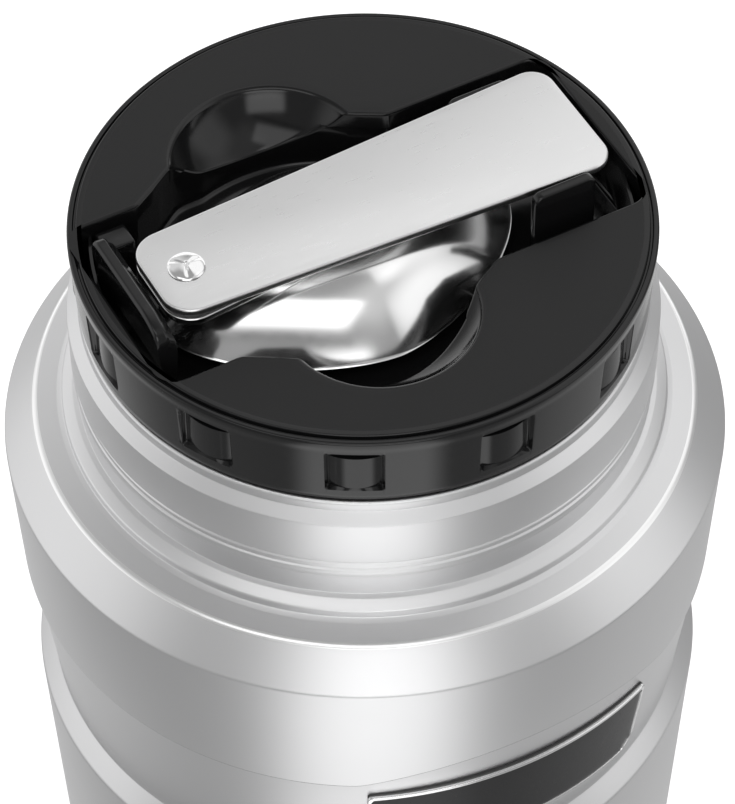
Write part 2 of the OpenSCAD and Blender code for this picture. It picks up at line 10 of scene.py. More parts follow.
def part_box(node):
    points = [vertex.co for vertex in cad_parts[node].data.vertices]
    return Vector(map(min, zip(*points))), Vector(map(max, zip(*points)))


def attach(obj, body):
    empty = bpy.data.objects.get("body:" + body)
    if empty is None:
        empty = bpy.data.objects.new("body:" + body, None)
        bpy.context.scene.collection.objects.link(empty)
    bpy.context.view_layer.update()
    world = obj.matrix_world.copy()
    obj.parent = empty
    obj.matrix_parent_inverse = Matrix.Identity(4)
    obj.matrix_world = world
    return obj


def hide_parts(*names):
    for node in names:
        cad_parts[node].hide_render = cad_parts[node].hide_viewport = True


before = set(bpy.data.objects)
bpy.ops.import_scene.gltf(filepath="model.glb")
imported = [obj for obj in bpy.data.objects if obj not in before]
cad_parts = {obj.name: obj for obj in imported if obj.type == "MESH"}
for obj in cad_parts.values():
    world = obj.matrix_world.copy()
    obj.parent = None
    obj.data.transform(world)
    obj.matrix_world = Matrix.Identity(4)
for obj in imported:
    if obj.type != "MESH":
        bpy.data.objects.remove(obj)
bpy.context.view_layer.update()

MM = 0.001


def low(node):
    """Lowest corner of a CAD node, in millimetres."""
    return np.array(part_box(node)[0]) / MM


def high(node):
    """Highest corner of a CAD node, in millimetres."""
    return np.array(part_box(node)[1]) / MM


# How far the handle stands over the stopper's top, and how thick it is
HANDLE_RISE = 3.5
HANDLE_T = 1.2

# Levels and sizes read from the frame
TOP = high("spoon_handle")[2] - HANDLE_RISE
RIM = high("outer_shell")[2]
SKIRT = low("stopper_cover")[2]
COLLAR_R = high("outer_shell")[0]
LID_R = high("stopper_cover")[0]

# Levels of the jar, each counted down from the one above it
ROOT = RIM - 19.9
COLLAR = ROOT - 5
BROW = COLLAR - 21
WAIST = BROW - 21.7


# Meshes

def fillet_path(corners, closed, turn_step=9):
    """Outline through corners (a, b, radius), each corner rounded by an arc of its radius."""
    points = []
    count = len(corners)
    for i, (a, b, radius) in enumerate(corners):
        here = np.array([a, b], float)
        if radius == 0 or (not closed and i in (0, count - 1)):
            points.append(here)
            continue
        before = np.array(corners[i - 1][:2], float) - here
        after = np.array(corners[(i + 1) % count][:2], float) - here
        reach = min(np.linalg.norm(before), np.linalg.norm(after))
        before /= np.linalg.norm(before)
        after /= np.linalg.norm(after)
        inner = math.acos(np.clip(before @ after, -1, 1))
        if math.pi - inner < 0.02:
            points.append(here)
            continue
        trim = min(radius / math.tan(inner / 2), reach * 0.49)
        arc_r = trim * math.tan(inner / 2)
        middle = here + (before + after) / np.linalg.norm(before + after) * arc_r / math.sin(inner / 2)
        start = here + before * trim - middle
        end = here + after * trim - middle
        a0 = math.atan2(start[1], start[0])
        turn = (math.atan2(end[1], end[0]) - a0 + math.pi) % (2 * math.pi) - math.pi
        steps = max(2, math.ceil(abs(math.degrees(turn)) / turn_step))
        for k in range(steps + 1):
            angle = a0 + turn * k / steps
            points.append(middle + arc_r * np.array([math.cos(angle), math.sin(angle)]))
    return np.array(points)


def grid_faces(rows, cols, close_rows=False):
    """Quads between rows of points that each close round; the last row may join the first too."""
    faces = []
    for i in range(rows if close_rows else rows - 1):
        a = i * cols
        b = (i + 1) % rows * cols
        for j in range(cols):
            k = (j + 1) % cols
            faces.append((a + j, a + k, b + k, b + j))
    return faces


def add_object(name, data):
    """A new object in the scene that shows the data."""
    thing = bpy.data.objects.new(name, data)
    bpy.context.scene.collection.objects.link(thing)
    return thing


def make_piece(name, points, faces, body, material, sharp=35):
    """A mesh piece from points in millimetres, smooth but for edges sharper than the angle."""
    mesh = bpy.data.meshes.new(name)
    mesh.from_pydata((np.asarray(points, float) * MM).tolist(), [], faces)
    mesh.validate()
    mesh.shade_smooth()
    mesh.set_sharp_from_angle(angle=math.radians(sharp))
    mesh.materials.append(material)
    piece = add_object(name, mesh)
    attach(piece, body)
    return piece


class Shape:
    """Collects points and faces of several closed forms for one piece."""

    def __init__(self):
        self.points = []
        self.faces = []

    def add(self, points, faces):
        start = len(self.points)
        self.points.extend(np.asarray(points, float).tolist())
        self.faces.extend([tuple(start + i for i in f) for f in faces])


def rings_to_mesh(rings, first_point=None, last_point=None):
    """Points and faces of stacked closed rings, with a point to close each end."""
    cols = len(rings[0])
    points = [p for ring in rings for p in ring]
    faces = grid_faces(len(rings), cols)
    for point, base, flip in ((first_point, 0, True), (last_point, (len(rings) - 1) * cols, False)):
        if point is None:
            continue
        tip = len(points)
        points.append(point)
        for j in range(cols):
            a = base + j
            b = base + (j + 1) % cols
            faces.append((b, a, tip) if flip else (a, b, tip))
    return points, faces


# Steps of a plate's rounded edge, of its round corners, and of a prism's rounded edge
PLATE_STEPS = 4
CORNER_STEPS = 12
PRISM_STEPS = 3


def rounded_levels(bevel, depth_low, depth_high, steps):
    """How far in and how high each ring of a plate with rounded edges lies, from below to above."""
    turns = [math.pi / 2 * k / steps for k in range(steps + 1)]
    levels = [(bevel * (1 - math.sin(t)), depth_low + bevel * (1 - math.cos(t))) for t in turns]
    levels += [(bevel * (1 - math.cos(t)), depth_high - bevel * (1 - math.sin(t))) for t in turns]
    return levels


def capped(rings):
    """Points and faces of stacked closed rings, with one flat face at each end."""
    points, faces = rings_to_mesh(rings)
    cols = len(rings[0])
    faces.append(tuple(reversed(range(cols))))
    faces.append(tuple(range((len(rings) - 1) * cols, len(rings) * cols)))
    return points, faces


def plate(corners, low_z, high_z, bevel):
    """Flat plate whose outline is round corners (x, y, radius), with its edges rounded over."""
    count = len(corners)
    bearings = []
    for i in range(count):
        (x0, y0, r0), (x1, y1, r1) = corners[i], corners[(i + 1) % count]
        span = math.hypot(x1 - x0, y1 - y0)
        bearings.append(math.atan2(y1 - y0, x1 - x0) - math.acos((r0 - r1) / span))
    outline = []
    for i, (x, y, radius) in enumerate(corners):
        start = bearings[i - 1]
        turn = (bearings[i] - start) % (2 * math.pi)
        for k in range(CORNER_STEPS + 1):
            angle = start + turn * k / CORNER_STEPS
            outline.append((x, y, radius, math.cos(angle), math.sin(angle)))
    outline = np.array(outline)

    def ring(inset, z):
        reach = outline[:, 2] - inset
        x = outline[:, 0] + reach * outline[:, 3]
        y = outline[:, 1] + reach * outline[:, 4]
        return np.column_stack([x, y, np.full(len(x), z)])

    return capped([ring(inset, z) for inset, z in rounded_levels(bevel, low_z, high_z, PLATE_STEPS)])


def prism(outline, depth_low, depth_high, place, bevel):
    """Prism of a convex outline (u, v) with rounded end edges; place turns (u, v, depth) into (x, y, z)."""
    outline = np.asarray(outline, float)
    ahead = np.roll(outline, -1, 0) - outline
    behind = outline - np.roll(outline, 1, 0)
    ahead /= np.maximum(np.linalg.norm(ahead, axis=1), 1e-9)[:, None]
    behind /= np.maximum(np.linalg.norm(behind, axis=1), 1e-9)[:, None]
    side = ahead + behind
    side /= np.linalg.norm(side, axis=1)[:, None]
    inward = np.column_stack([-side[:, 1], side[:, 0]])
    area = (outline[:, 0] * np.roll(outline[:, 1], -1) - outline[:, 1] * np.roll(outline[:, 0], -1)).sum()
    if area < 0:
        inward = -inward
    placed = []
    for inset, depth in rounded_levels(bevel, depth_low, depth_high, PRISM_STEPS):
        flat = outline + inward * inset
        placed.append([place(u, v, depth) for u, v in flat])
    points, faces = capped(placed)
    a, b, c = (np.array(place(*p)) for p in ((1, 0, 0), (0, 1, 0), (0, 0, 1)))
    origin = np.array(place(0, 0, 0))
    mirrored = np.cross(a - origin, b - origin) @ (c - origin) < 0
    if mirrored != (area < 0):
        faces = [tuple(reversed(f)) for f in faces]
    return points, faces


# Materials

def node_material(name):
    """A new material, with its nodes and its links."""
    material = bpy.data.materials.new(name)
    material.use_nodes = True
    return material, material.node_tree.nodes, material.node_tree.links


# Scale of the slow clouds, the part of a noise's range that counts, and the height of the grain
CLOUD_SCALE = 60
NOISE_RANGE = (0.3, 0.7)
GRAIN_HEIGHT = 0.02 * MM


def spread_range(node, middle, spread):
    """Sets a range node to turn a noise into values that lie up to spread from the middle."""
    node.inputs["From Min"].default_value, node.inputs["From Max"].default_value = NOISE_RANGE
    node.inputs["To Min"].default_value = middle - spread
    node.inputs["To Max"].default_value = middle + spread


def surface(name, colour, metallic, roughness, grain, colour_spread=0.0, rough_spread=0.0,
            stretch=(1, 1, 1), bump=0.0, specular=0.5):
    """A finish with a fine grain in its bump, and slow clouds in its colour and roughness."""
    material, nodes, links = node_material(name)
    shader = nodes["Principled BSDF"]
    shader.inputs["Metallic"].default_value = metallic
    shader.inputs["Specular IOR Level"].default_value = specular
    where = nodes.new("ShaderNodeTexCoord")
    scale = nodes.new("ShaderNodeMapping")
    scale.inputs["Scale"].default_value = stretch
    links.new(where.outputs["Object"], scale.inputs["Vector"])
    clouds = nodes.new("ShaderNodeTexNoise")
    clouds.inputs["Scale"].default_value = CLOUD_SCALE
    clouds.inputs["Detail"].default_value = 3
    links.new(where.outputs["Object"], clouds.inputs["Vector"])
    shade = nodes.new("ShaderNodeMapRange")
    spread_range(shade, 1, colour_spread)
    links.new(clouds.outputs["Fac"], shade.inputs["Value"])
    tint = nodes.new("ShaderNodeVectorMath")
    tint.operation = "SCALE"
    tint.inputs[0].default_value = colour
    links.new(shade.outputs["Result"], tint.inputs["Scale"])
    links.new(tint.outputs["Vector"], shader.inputs["Base Color"])
    fine = nodes.new("ShaderNodeTexNoise")
    fine.inputs["Scale"].default_value = grain
    fine.inputs["Detail"].default_value = 4
    links.new(scale.outputs["Vector"], fine.inputs["Vector"])
    rough = nodes.new("ShaderNodeMapRange")
    spread_range(rough, roughness, rough_spread)
    links.new(fine.outputs["Fac"], rough.inputs["Value"])
    links.new(rough.outputs["Result"], shader.inputs["Roughness"])
    if bump:
        relief = nodes.new("ShaderNodeBump")
        relief.inputs["Strength"].default_value = bump
        relief.inputs["Distance"].default_value = GRAIN_HEIGHT
        links.new(fine.outputs["Fac"], relief.inputs["Height"])
        links.new(relief.outputs["Normal"], shader.inputs["Normal"])
    return material


SATIN_STEEL = surface("satin_steel", (0.74, 0.74, 0.745), 1, 0.40, grain=5200, rough_spread=0.02,
                      colour_spread=0.01, bump=0.10)
VESSEL_STEEL = surface("vessel_steel", (0.62, 0.61, 0.60), 1, 0.30, grain=900, rough_spread=0.06,
                       stretch=(1, 1, 12), colour_spread=0.03, bump=0.15)
# Dark steel on the brow's turned-under lip: painted shade of the crease
LIP_PAINTED_SHADE = surface("lip_painted_shade", (0.14, 0.14, 0.145), 1, 0.45, grain=5200, rough_spread=0.02,
                    colour_spread=0.01, bump=0.05)
# Bright steel on the shoulder's crest: a painted highlight
CREST_PAINTED_HIGHLIGHT = surface("crest_painted_highlight", (0.95, 0.95, 0.95), 1, 0.30, grain=5200, rough_spread=0.01,
                      colour_spread=0.01, bump=0.03)
POLISHED_STEEL = surface("polished_steel", (0.86, 0.86, 0.86), 1, 0.15, grain=700, rough_spread=0.01,
                         colour_spread=0.01)
HANDLE_STEEL = surface("handle_steel", (0.80, 0.80, 0.80), 1, 0.30, grain=2600, rough_spread=0.03,
                       stretch=(0.12, 1, 1), colour_spread=0.012, bump=0.05)
RIVET_STEEL = surface("rivet_steel", (0.9, 0.9, 0.9), 1, 0.12, grain=1500, rough_spread=0.02)
COVER_TOP = surface("cover_top", (0.008, 0.008, 0.0082), 0, 0.42, grain=6500, rough_spread=0.03,
                    colour_spread=0.05, bump=0.10, specular=0.3)
COVER_GLOSS = surface("cover_gloss", (0.005, 0.005, 0.0052), 0, 0.12, grain=900, rough_spread=0.015,
                      colour_spread=0.05, specular=0.38)
BLACK_PLUG = surface("black_plug", (0.012, 0.012, 0.012), 0, 0.35, grain=3000, rough_spread=0.05, bump=0.1)
FOAM = surface("foam", (0.82, 0.78, 0.66), 0, 0.9, grain=1400, colour_spread=0.08, rough_spread=0.05,
               bump=0.9)
SILICONE = surface("silicone", (0.72, 0.72, 0.70), 0, 0.45, grain=1500, rough_spread=0.05, bump=0.1)
FOIL = surface("foil", (0.86, 0.72, 0.46), 1, 0.22, grain=300, rough_spread=0.08, bump=0.6)
SOLDER = surface("solder", (0.42, 0.42, 0.44), 1, 0.45, grain=1200, colour_spread=0.1, rough_spread=0.1,
                 bump=0.5)
BADGE_STEEL = surface("badge_steel", (0.82, 0.82, 0.82), 1, 0.22, grain=2500, rough_spread=0.02)
BADGE_ENAMEL = surface("badge_enamel", (0.014, 0.014, 0.0145), 0, 0.30, grain=3500, rough_spread=0.03,
                       colour_spread=0.06, bump=0.04, specular=0.12)
# Black of the rivet's washer; the same black is painted shade in the gap over the badge
WASHER_AND_GAP_SHADE_BLACK = surface("washer_black", (0.02, 0.02, 0.02), 0, 0.4, grain=2000, rough_spread=0.05)

# Finish of each CAD node that stays as it is
FINISHES = {
    "inner_vessel": VESSEL_STEEL,
    "radiation_foil": FOIL,
    "base_plate": VESSEL_STEEL,
    "vacuum_seal": SOLDER,
    "getter": SOLDER,
    "bottom_cover": SATIN_STEEL,
    "plug_body": BLACK_PLUG,
    "plug_foam": FOAM,
    "stopper_gasket": SILICONE,
    "rivet_washer": WASHER_AND_GAP_SHADE_BLACK,
}


def dress_nodes():
    """Gives each CAD node that stays its own finish."""
    for name, material in FINISHES.items():
        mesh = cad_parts[name].data
        mesh.materials.clear()
        mesh.materials.append(material)


# Jar: radii from the belly to the bore, the step under the brow, the wall, and the arch over the badge

BELLY_R = 46.6
WAIST_R = 44.3
BROW_R = 47.3
BROW_STEP = 0.55
FOOT_R = 44.4
CREST_R = 43.95
LEDGE_R = 40.9
BEAD_R = 40.15
NECK_LOW_R = 38.0
NECK_R = 38.5
RIM_R = 37
BORE_R = 34.9
SHELL_T = 0.7
ARCH_HALF = 23.2
ARCH_H = 4.2
ARCH_BLEND = 0.25
CREST_FOOT = (44.6, ROOT - 0.74)
WALL_COLUMNS = 576

# Slope limits (the normal's upward part) of the faces that get painted shade under the brow's lip and a
# painted highlight on the crest, how far from the axis those faces lie, and how near the crest's level
LIP_SHADE_SLOPES = (-0.9, -0.12)
LIP_SHADE_FROM_R = 46
CREST_HIGHLIGHT_SLOPES = (0.665, 0.965)
CREST_HIGHLIGHT_RADII = (43.2, 44.9)
CREST_HIGHLIGHT_REACH = 0.9


def arch_lift(angle):
    """How far the collar's lower edge is raised over the badge, at an angle round the jar."""
    radius = (ARCH_HALF ** 2 + ARCH_H ** 2) / (2 * ARCH_H)
    across = BROW_R * math.cos(angle)
    if math.sin(angle) > 0:
        return 0.0
    rise = math.sqrt(max(radius ** 2 - across ** 2, 0)) - (radius - ARCH_H)
    return (rise + math.sqrt(rise ** 2 + ARCH_BLEND ** 2)) / 2


def neck_profile():
    """Outer outline of the neck, from the shoulder's upper edge to the rim."""
    return fillet_path([
        (*CREST_FOOT, 0),
        (CREST_R, ROOT + 0.04, 1.3),
        (LEDGE_R, ROOT + 0.72, 0.4),
        (BEAD_R, ROOT + 1.05, 0.2),
        (BEAD_R, ROOT + 2.05, 0.5),
        (NECK_LOW_R + 0.7, ROOT + 3.0, 0.8),
        (NECK_LOW_R, ROOT + 3.25, 0.12),
        (NECK_LOW_R, RIM - 13.5, 0.2),
        (38.25, RIM - 13.2, 0.2),
        (38.1, RIM - 12.75, 0.1),
        (38.4, RIM - 12.45, 0.22),
        (38.3, RIM - 11.85, 0.25),
        (37.95, RIM - 11.6, 0.12),
        (38.3, RIM - 11.25, 0.22),
        (38.25, RIM - 10.75, 0.22),
        (37.95, RIM - 10.45, 0.15),
        (NECK_R, RIM - 9.9, 0.4),
        (NECK_R, RIM - 2.8, 0.25),
        (RIM_R, RIM - 1.5, 0.25),
        (RIM_R, RIM, 0.5),
        (BORE_R + 0.6, RIM, 0.3),
    ], closed=False)


def jar_inside():
    """Inner outline of the steel wall, from the rim down to the foot."""
    return np.array([
        (BORE_R + 0.6, RIM - SHELL_T),
        (RIM_R - SHELL_T, RIM - SHELL_T),
        (RIM_R - SHELL_T, RIM - 2.4),
        (NECK_R - 1.2, RIM - 3),
        (NECK_R - 1.2, ROOT + 3.5),
        (39.3, ROOT + 0.1),
        (42.4, ROOT - 0.9),
        (43.2, ROOT - SHELL_T),
        (COLLAR_R - SHELL_T, COLLAR - SHELL_T),
        (BROW_R - 1.05, BROW + 1),
        (WAIST_R - SHELL_T, WAIST + SHELL_T),
        (WAIST_R - SHELL_T, WAIST - 0.4),
        (BELLY_R - SHELL_T, WAIST - 3.2),
        (FOOT_R - SHELL_T, 2.4),
        (FOOT_R - SHELL_T, 2),
        (FOOT_R - 3, 2),
        (FOOT_R - 3, 0.2),
        (FOOT_R - 2.8, 0),
    ])


def band_radius(z):
    """Radius of the waist band at a height."""
    return WAIST_R + (BROW_R - BROW_STEP - WAIST_R) * (z - WAIST) / (BROW - WAIST)


def jar_outline(lift):
    """Outer outline with the collar's lower edge raised by lift, always as many points."""
    edge = BROW + lift
    share = (edge - BROW) / (COLLAR - BROW)
    edge_r = BROW_R + (COLLAR_R - BROW_R) * share
    band_r = min(band_radius(edge), edge_r - BROW_STEP)
    return fillet_path([
        (FOOT_R - 2.8, 0, 0),
        (FOOT_R, 0, 2.4),
        (BELLY_R - 0.05, WAIST - 2.95, 1.2),
        (WAIST_R + 0.35, WAIST - 0.35, 0.3),
        (WAIST_R + 0.1, WAIST, 0.2),
        (WAIST_R + 0.05, WAIST + 0.6, 0.3),
        (band_r - 0.05, edge - 0.15, 0.04),
        (edge_r, edge, 0.55),
        (COLLAR_R, COLLAR - 0.1, 0.8),
        (*CREST_FOOT, 0),
    ], closed=False)


def paint_lip_shade_and_crest_highlight(piece):
    """Paints shade on the brow's turned-under lip with a dark steel, and a highlight on the shoulder's
    crest with a bright steel.
    """
    mesh = piece.data
    mesh.materials.append(LIP_PAINTED_SHADE)
    mesh.materials.append(CREST_PAINTED_HIGHLIGHT)
    count = len(mesh.polygons)
    middles = np.empty(count * 3)
    normals = np.empty(count * 3)
    mesh.polygons.foreach_get("center", middles)
    mesh.polygons.foreach_get("normal", normals)
    middles = middles.reshape(-1, 3) / MM
    up = normals.reshape(-1, 3)[:, 2]
    radius = np.hypot(middles[:, 0], middles[:, 1])
    height = middles[:, 2]
    # Faces under the brow's lip, which get the painted shade
    lip_shade = (up > LIP_SHADE_SLOPES[0]) & (up < LIP_SHADE_SLOPES[1]) & (radius > LIP_SHADE_FROM_R)
    lip_shade &= (height > BROW - 1) & (height < COLLAR)
    # Faces on the shoulder's crest, which get the painted highlight
    crest_highlight = (up > CREST_HIGHLIGHT_SLOPES[0]) & (up < CREST_HIGHLIGHT_SLOPES[1]) & (abs(height - ROOT) < CREST_HIGHLIGHT_REACH)
    crest_highlight &= (radius > CREST_HIGHLIGHT_RADII[0]) & (radius < CREST_HIGHLIGHT_RADII[1])
    slots = np.zeros(count, dtype=np.int32)
    slots[lip_shade] = 1
    slots[crest_highlight] = 2
    mesh.polygons.foreach_set("material_index", slots)


def jar_shell():
    """Spun steel wall with its fine edges, and the arch over the badge."""
    neck = neck_profile()[1:]
    inside = jar_inside()
    columns = []
    for angle in np.linspace(0, 2 * math.pi, WALL_COLUMNS, endpoint=False):
        profile = np.vstack([jar_outline(arch_lift(angle)), neck, inside])
        columns.append(np.column_stack([
            profile[:, 0] * math.cos(angle),
            profile[:, 0] * math.sin(angle),
            profile[:, 1]]))
    points = np.stack(columns, 1).reshape(-1, 3)
    faces = grid_faces(len(columns[0]), WALL_COLUMNS, close_rows=True)
    piece = make_piece("jar_wall", points, faces, "jar", SATIN_STEEL)
    # Painted shade under the brow's lip and a painted highlight on the shoulder's crest
    paint_lip_shade_and_crest_highlight(piece)
    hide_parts("outer_shell")


# Badge: its ends in degrees round the jar, then heights and lengths

BADGE_START = -28.2
BADGE_END = 24.4
BADGE_TOP = WAIST + 18.5
BADGE_LOW = WAIST + 3.6
BADGE_CROWN = 1.3
BADGE_CUT = 2.2
CUT_PER_INSET = 0.41
SIDE_GAP = 0.4
TOP_CLIP = 0.35
BADGE_BORDER = 0.5
BADGE_R = 46.6
BADGE_THICK = 0.6
GAP_SHADE_LIFT = 0.32
CROWN_STEPS = 90


def badge_outline(inset):
    """Badge's edge as (distance round the jar, height), drawn in by inset, anticlockwise."""
    half = math.radians(BADGE_END - BADGE_START) / 2 * BADGE_R - inset
    cut = BADGE_CUT - inset * CUT_PER_INSET
    base = BADGE_LOW + inset
    side = BADGE_TOP - BADGE_LOW - cut - 2 * inset - SIDE_GAP
    points = []

    def crown(u):
        return BADGE_CROWN * (1 - (u / (half + inset)) ** 2)

    for k in range(CROWN_STEPS + 1):
        u = -half + cut + (2 * half - 2 * cut) * k / CROWN_STEPS
        points.append((u, base + crown(u)))
    for k in range(1, 5):
        points.append((half - cut + cut * k / 4, base + crown(half) + cut * k / 4))
    for k in range(1, 12):
        points.append((half, base + cut + side * k / 11))
    for k in range(CROWN_STEPS + 1):
        u = half - TOP_CLIP - 2 * (half - TOP_CLIP) * k / CROWN_STEPS
        points.append((u, BADGE_TOP - inset + crown(u)))
    for k in range(1, 12):
        points.append((-half, base + cut + side * (12 - k) / 11 - 0.1))
    for k in range(1, 4):
        points.append((-half + cut * k / 4, base + crown(half) + cut * (4 - k) / 4))
    return np.array(points)


def on_band(outline, off):
    """Points of a badge outline laid on the waist band, off in front of it."""
    middle = math.radians(BADGE_START + BADGE_END) / 2
    angle = outline[:, 0] / BADGE_R + middle
    radius = band_radius(outline[:, 1]) + off
    return np.column_stack([radius * np.sin(angle), -radius * np.cos(angle), outline[:, 1]])


def badge_plate():
    """Thin bright border that stands out of the waist, with a black strip along its top as painted shade of
    the gap above it.
    """
    edge = badge_outline(0)
    inner = badge_outline(BADGE_BORDER)
    well = badge_outline(BADGE_BORDER + 0.05)
    rings = [
        on_band(edge, -0.25),
        on_band(edge, BADGE_THICK - 0.12),
        on_band(badge_outline(0.06), BADGE_THICK - 0.03),
        on_band(badge_outline(0.14), BADGE_THICK),
        on_band(inner, BADGE_THICK),
        on_band(well, BADGE_THICK - 0.18),
        on_band(well, BADGE_THICK - 0.4),
    ]
    points, faces = rings_to_mesh(rings)
    shape = Shape()
    shape.add(points, faces)
    # Black strip a little above the border: painted shade standing for the gap between plate and waist
    lift = np.array([0, GAP_SHADE_LIFT])
    gap_shade = [on_band(edge + lift, -0.2), on_band(edge + lift, 0.12), on_band(inner + lift, 0.14)]
    shape.add(*rings_to_mesh(gap_shade))
    piece = make_piece("badge_border", shape.points, shape.faces, "jar", BADGE_STEEL,
                       sharp=50)
    # The gap strip's faces take the black: painted shade
    piece.data.materials.append(WASHER_AND_GAP_SHADE_BLACK)
    for face in piece.data.polygons:
        face.material_index = 1 if face.index >= len(faces) else 0
    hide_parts("badge_plate")


def badge_field():
    """Dark enamel field inside the border, left bare."""
    field = badge_outline(BADGE_BORDER + 0.02)
    half = field[:, 0].max()
    middle = (field[:, 1].max() + field[:, 1].min()) / 2
    reach = half - (BADGE_TOP - BADGE_LOW) / 2
    spine = np.column_stack([np.clip(field[:, 0], -reach, reach), np.full(len(field), middle)])
    rings = [on_band(field, 0.25)]
    for share in (0, 0.2, 0.4, 0.6, 0.8, 1):
        rings.append(on_band(field * (1 - share) + spine * share, 0.45))
    points, faces = rings_to_mesh(rings)
    piece = make_piece("badge_field", points, faces, "jar", BADGE_ENAMEL, sharp=50)
    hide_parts("badge_inlay")


# Stopper cover: the recess, its bay for the bowl, and the round finger scoops

RECESS_D = 9.5
RECESS_HALF = (34.0, 14.4)
RECESS_ROUND = 2.8
LEFT_SHIFT = (-0.6, 1.0)
LEFT_BLEND = (6, 5)
BAY_R = 21.4
BAY_X = -6.2
SHOULDER_OUT = 17.5
SHOULDER_IN = 11.0
SHOULDER_SLOPE = math.tan(math.radians(30))
SCOOP_R = 14.1
SCOOP_RISE = 6.2
SCOOP_AT = (-5.7, 15.0)

# Roundings and steps of the recess's walls
LIP = 0.45
WALL_BAND = 2.85
WALL_BAND_STEP = 0.35
FLOOR_ROUND = 0.9
CUSP_ROUND = 0.35
WALL_STEP = 0.15
WALL_FOOT = 7.6

# Skirt, walls and the fine groove near the top's edge
SKIRT_R = 37.0
SKIRT_IN_R = 34.9
COVER_T = 2.2
COVER_WALL = 1.2
GROOVE_IN = 0.75
GROOVE_W = 0.4
GROOVE_D = 0.42
PLAIN_IN = 1.2
EDGE_DROP = 0.35
UNDER_GAP = 0.4
SKIRT_CHAMFER = 0.2

# Gripping pockets, each with a barrel that bulges in its lower part
POCKETS = 12
POCKET_W = 7.3
POCKET_H = 7.1
POCKET_LOW = 1.9
POCKET_DEPTH = 1.25
BARREL_R = 8.7
BARREL_H = 5.7
BARREL_IN = 0.7
POCKET_EDGE = 0.12
POCKET_ROUND = 0.3
POCKET_LEVELS = (-0.12, -0.05, 0.0, 0.05, 0.12, 0.25)

# Columns of the cover, in degrees: their step, the finer step at the scoops, and the scoops' arcs
COLUMN_STEP = 0.375
SCOOP_STEP = 0.25
SCOOP_ARCS = ((58, 142), (218, 302))
EDGE_CLEAR = 0.17

# Search for the hollow's edge: its nearest and farthest radius, and the number of halvings
SEARCH_NEAR = 3.0
SEARCH_FAR = 60.0
SEARCH_STEPS = 40


def round_box(x, y, half_x, half_y, radius):
    """Distance to a rectangle with round corners, below zero inside."""
    dx = np.abs(x) - half_x + radius
    dy = np.abs(y) - half_y + radius
    outside = np.hypot(np.maximum(dx, 0), np.maximum(dy, 0))
    return outside + np.minimum(np.maximum(dx, dy), 0) - radius


def joined(a, b, radius):
    """Distance to two joined areas, with the inner corner between them rounded."""
    u = np.maximum(radius - a, 0)
    v = np.maximum(radius - b, 0)
    return np.maximum(radius, np.minimum(a, b)) - np.hypot(u, v)


def tub(x, y):
    """Distance to the plan of the recess and its bay; the left part lies a little further off."""
    side = np.clip((BAY_X - LEFT_BLEND[0] - x) / LEFT_BLEND[1], 0, 1)
    share = side * side * (3 - 2 * side)
    x = x - LEFT_SHIFT[0] * share
    y = y - LEFT_SHIFT[1] * share
    slot = round_box(x, y, *RECESS_HALF, RECESS_ROUND)
    bay = np.hypot(x - BAY_X, y) - BAY_R
    along = np.abs(x - BAY_X)
    cosine = 1 / math.hypot(1, SHOULDER_SLOPE)
    peak = RECESS_HALF[1] + (SHOULDER_OUT - SHOULDER_IN) * SHOULDER_SLOPE
    slope = (np.abs(y) - RECESS_HALF[1] + (along - SHOULDER_OUT) * SHOULDER_SLOPE) * cosine
    shoulders = np.maximum(np.maximum(slope, np.abs(y) - peak), along - SHOULDER_OUT)
    return joined(joined(slot, shoulders, CUSP_ROUND), bay, CUSP_ROUND)


def hollow(x, y, z, recede):
    """Distance to the hollow's section at height z, with the walls set back by recede."""
    area = tub(x, y) - recede
    drop = SCOOP_RISE + TOP - z
    if drop < SCOOP_R:
        reach = math.sqrt(SCOOP_R ** 2 - drop ** 2)
        for side in (-1, 1):
            scoop = np.hypot(x - SCOOP_AT[0], y - side * SCOOP_AT[1]) - reach
            area = joined(area, scoop, CUSP_ROUND)
    return area


def contour(angles, z, offset, recede=0.0, scoops=True):
    """Radius at each angle where the hollow's section at height z, grown by offset, ends."""
    near = np.full(len(angles), SEARCH_NEAR)
    far = np.full(len(angles), SEARCH_FAR)
    for _ in range(SEARCH_STEPS):
        middle = (near + far) / 2
        x = middle * np.cos(angles)
        y = middle * np.sin(angles)
        value = hollow(x, y, z, recede) if scoops else tub(x, y) - recede
        inside = value < offset
        near = np.where(inside, middle, near)
        far = np.where(inside, far, middle)
    return (near + far) / 2


def cover_angles():
    """Angles of the cover's columns, dense at the scoops and at the edges of the pockets."""
    angles = set(np.round(np.arange(0, 360, COLUMN_STEP), 4))
    for start, end in SCOOP_ARCS:
        angles |= set(np.round(np.arange(start, end, SCOOP_STEP), 4))
    half = math.degrees(POCKET_W / 2 / LID_R)
    for i in range(POCKETS):
        centre = i * 360 / POCKETS
        for edge in (-half, half):
            here = {a for a in angles if abs((a - centre - edge + 180) % 360 - 180) < EDGE_CLEAR}
            angles -= here
            for shift in (-POCKET_EDGE, 0.0, POCKET_EDGE):
                angles.add(round((centre + edge + shift) % 360, 4))
    return np.radians(sorted(angles))


def skirt_ring(angles, radius, z, barrel):
    """Radius of the skirt at each angle, sunk to the barrel or to the slot where a pocket is."""
    pitch = 2 * math.pi / POCKETS
    turn = (angles + pitch / 2) % pitch - pitch / 2
    across = np.sin(turn) * LID_R
    middle = SKIRT + POCKET_LOW + POCKET_H / 2
    edge = round_box(across, np.full(len(angles), z - middle), POCKET_W / 2, POCKET_H / 2, POCKET_ROUND)
    share = np.clip(0.5 - edge / POCKET_EDGE / 2, 0, 1)
    bulge = BARREL_R - np.sqrt(BARREL_R ** 2 - np.clip(across, -5, 5) ** 2)
    front = (LID_R - BARREL_IN - bulge) / np.cos(turn)
    floor = front if barrel else np.full(len(angles), LID_R - POCKET_DEPTH)
    return radius + (np.minimum(floor, radius) - radius) * share


